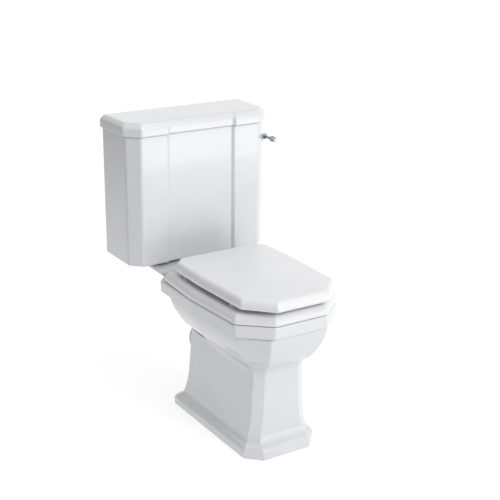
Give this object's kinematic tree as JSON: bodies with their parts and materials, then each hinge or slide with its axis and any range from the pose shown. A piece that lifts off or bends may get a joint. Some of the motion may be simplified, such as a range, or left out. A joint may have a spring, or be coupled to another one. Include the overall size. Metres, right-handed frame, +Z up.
{
  "type": "close coupled toilet",
  "caption": "Close coupled toilet with an octagonal pan on a moulded foot, a panelled cistern, a side lever and a hinged seat and lid.",
  "frame": {"origin": "on the floor at the centre of the foot, on the plane of symmetry", "axes": "+Z up, -Y towards the nose of the bowl, +X towards the side with the flush lever"},
  "size_m": [0.4885, 0.701, 0.851],
  "materials": {
    "vitreous_china": "white glaze",
    "seat_board": "white lacquer",
    "chrome": "polished",
    "steel": "zinc plated",
    "brass": "turned",
    "rubber": "moulded",
    "valve_plastic": "moulded",
    "float_plastic": "moulded",
    "cap_plastic": "moulded"
  },
  "bodies": {
    "pan_and_cistern": {"pan": "vitreous_china", "cistern_tank": "vitreous_china", "hinge_posts": "chrome", "hinge_studs": "steel", "hinge_sleeves": "valve_plastic", "hinge_bar": "chrome", "lever_rose": "chrome", "lever_bush": "brass", "lever_backnut": "valve_plastic", "siphon_body": "valve_plastic", "siphon_washer": "rubber", "siphon_backnut": "valve_plastic", "coupling_plate": "steel", "doughnut_washer": "rubber", "coupling_studs": "steel", "coupling_washers": "steel", "coupling_wing_nuts": "brass", "fill_valve_body": "valve_plastic", "float_pivot_pin": "steel", "fill_valve_washer": "rubber", "fill_valve_backnut": "valve_plastic", "floor_screws": "steel", "floor_screw_caps": "cap_plastic"},
    "cistern_cover": {"cistern_lid": "vitreous_china"},
    "ring": {"seat_ring": "seat_board", "ring_buffers": "rubber", "ring_hinge_arms": "chrome", "ring_hinge_screws": "steel"},
    "lid": {"seat_lid": "seat_board", "lid_buffers": "rubber", "lid_hinge_arms": "chrome", "lid_hinge_screws": "steel"},
    "lever": {"lever_spindle": "brass", "lever_handle": "chrome", "lever_crank": "brass"},
    "lift_rod": {"siphon_lift_rod": "valve_plastic"},
    "float_lever": {"float_arm": "valve_plastic", "float_ball": "float_plastic"},
    "piston": {"valve_piston": "valve_plastic"}
  },
  "joints": [
    {"name": "cover_lift", "type": "slide", "parent": "pan_and_cistern", "child": "cistern_cover", "axis": [0, 0, 1], "range_m": [0, 0.12]},
    {"name": "ring_hinge", "type": "hinge", "parent": "pan_and_cistern", "child": "ring", "pos_m": [0, 0.169, 0.446], "axis": [1, 0, 0], "range_deg": [-92, 0]},
    {"name": "lid_hinge", "type": "hinge", "parent": "ring", "child": "lid", "pos_m": [0, 0.169, 0.446], "axis": [-1, 0, 0], "range_deg": [0, 92]},
    {"name": "flush_lever", "type": "hinge", "parent": "pan_and_cistern", "child": "lever", "pos_m": [0.24, 0.287, 0.755], "axis": [1, 0, 0], "range_deg": [0, 30], "stiffness_Nm_per_rad": 0.6, "springref_deg": -14.32},
    {"name": "siphon_lift", "type": "slide", "parent": "pan_and_cistern", "child": "lift_rod", "axis": [0, 0, 1], "range_m": [0, 0.0235]},
    {"name": "float_swing", "type": "hinge", "parent": "pan_and_cistern", "child": "float_lever", "pos_m": [-0.143, 0.366, 0.7], "axis": [0, 1, 0], "range_deg": [-20, 0]},
    {"name": "valve_piston_slide", "type": "slide", "parent": "pan_and_cistern", "child": "piston", "axis": [1, 0, 0], "range_m": [-0.0045, 0]}
  ],
  "couplings": [
    {"joint": "siphon_lift", "follows": "flush_lever", "m_per_rad": 0.0445},
    {"joint": "valve_piston_slide", "follows": "float_swing", "m_per_rad": 0.012}
  ]
}
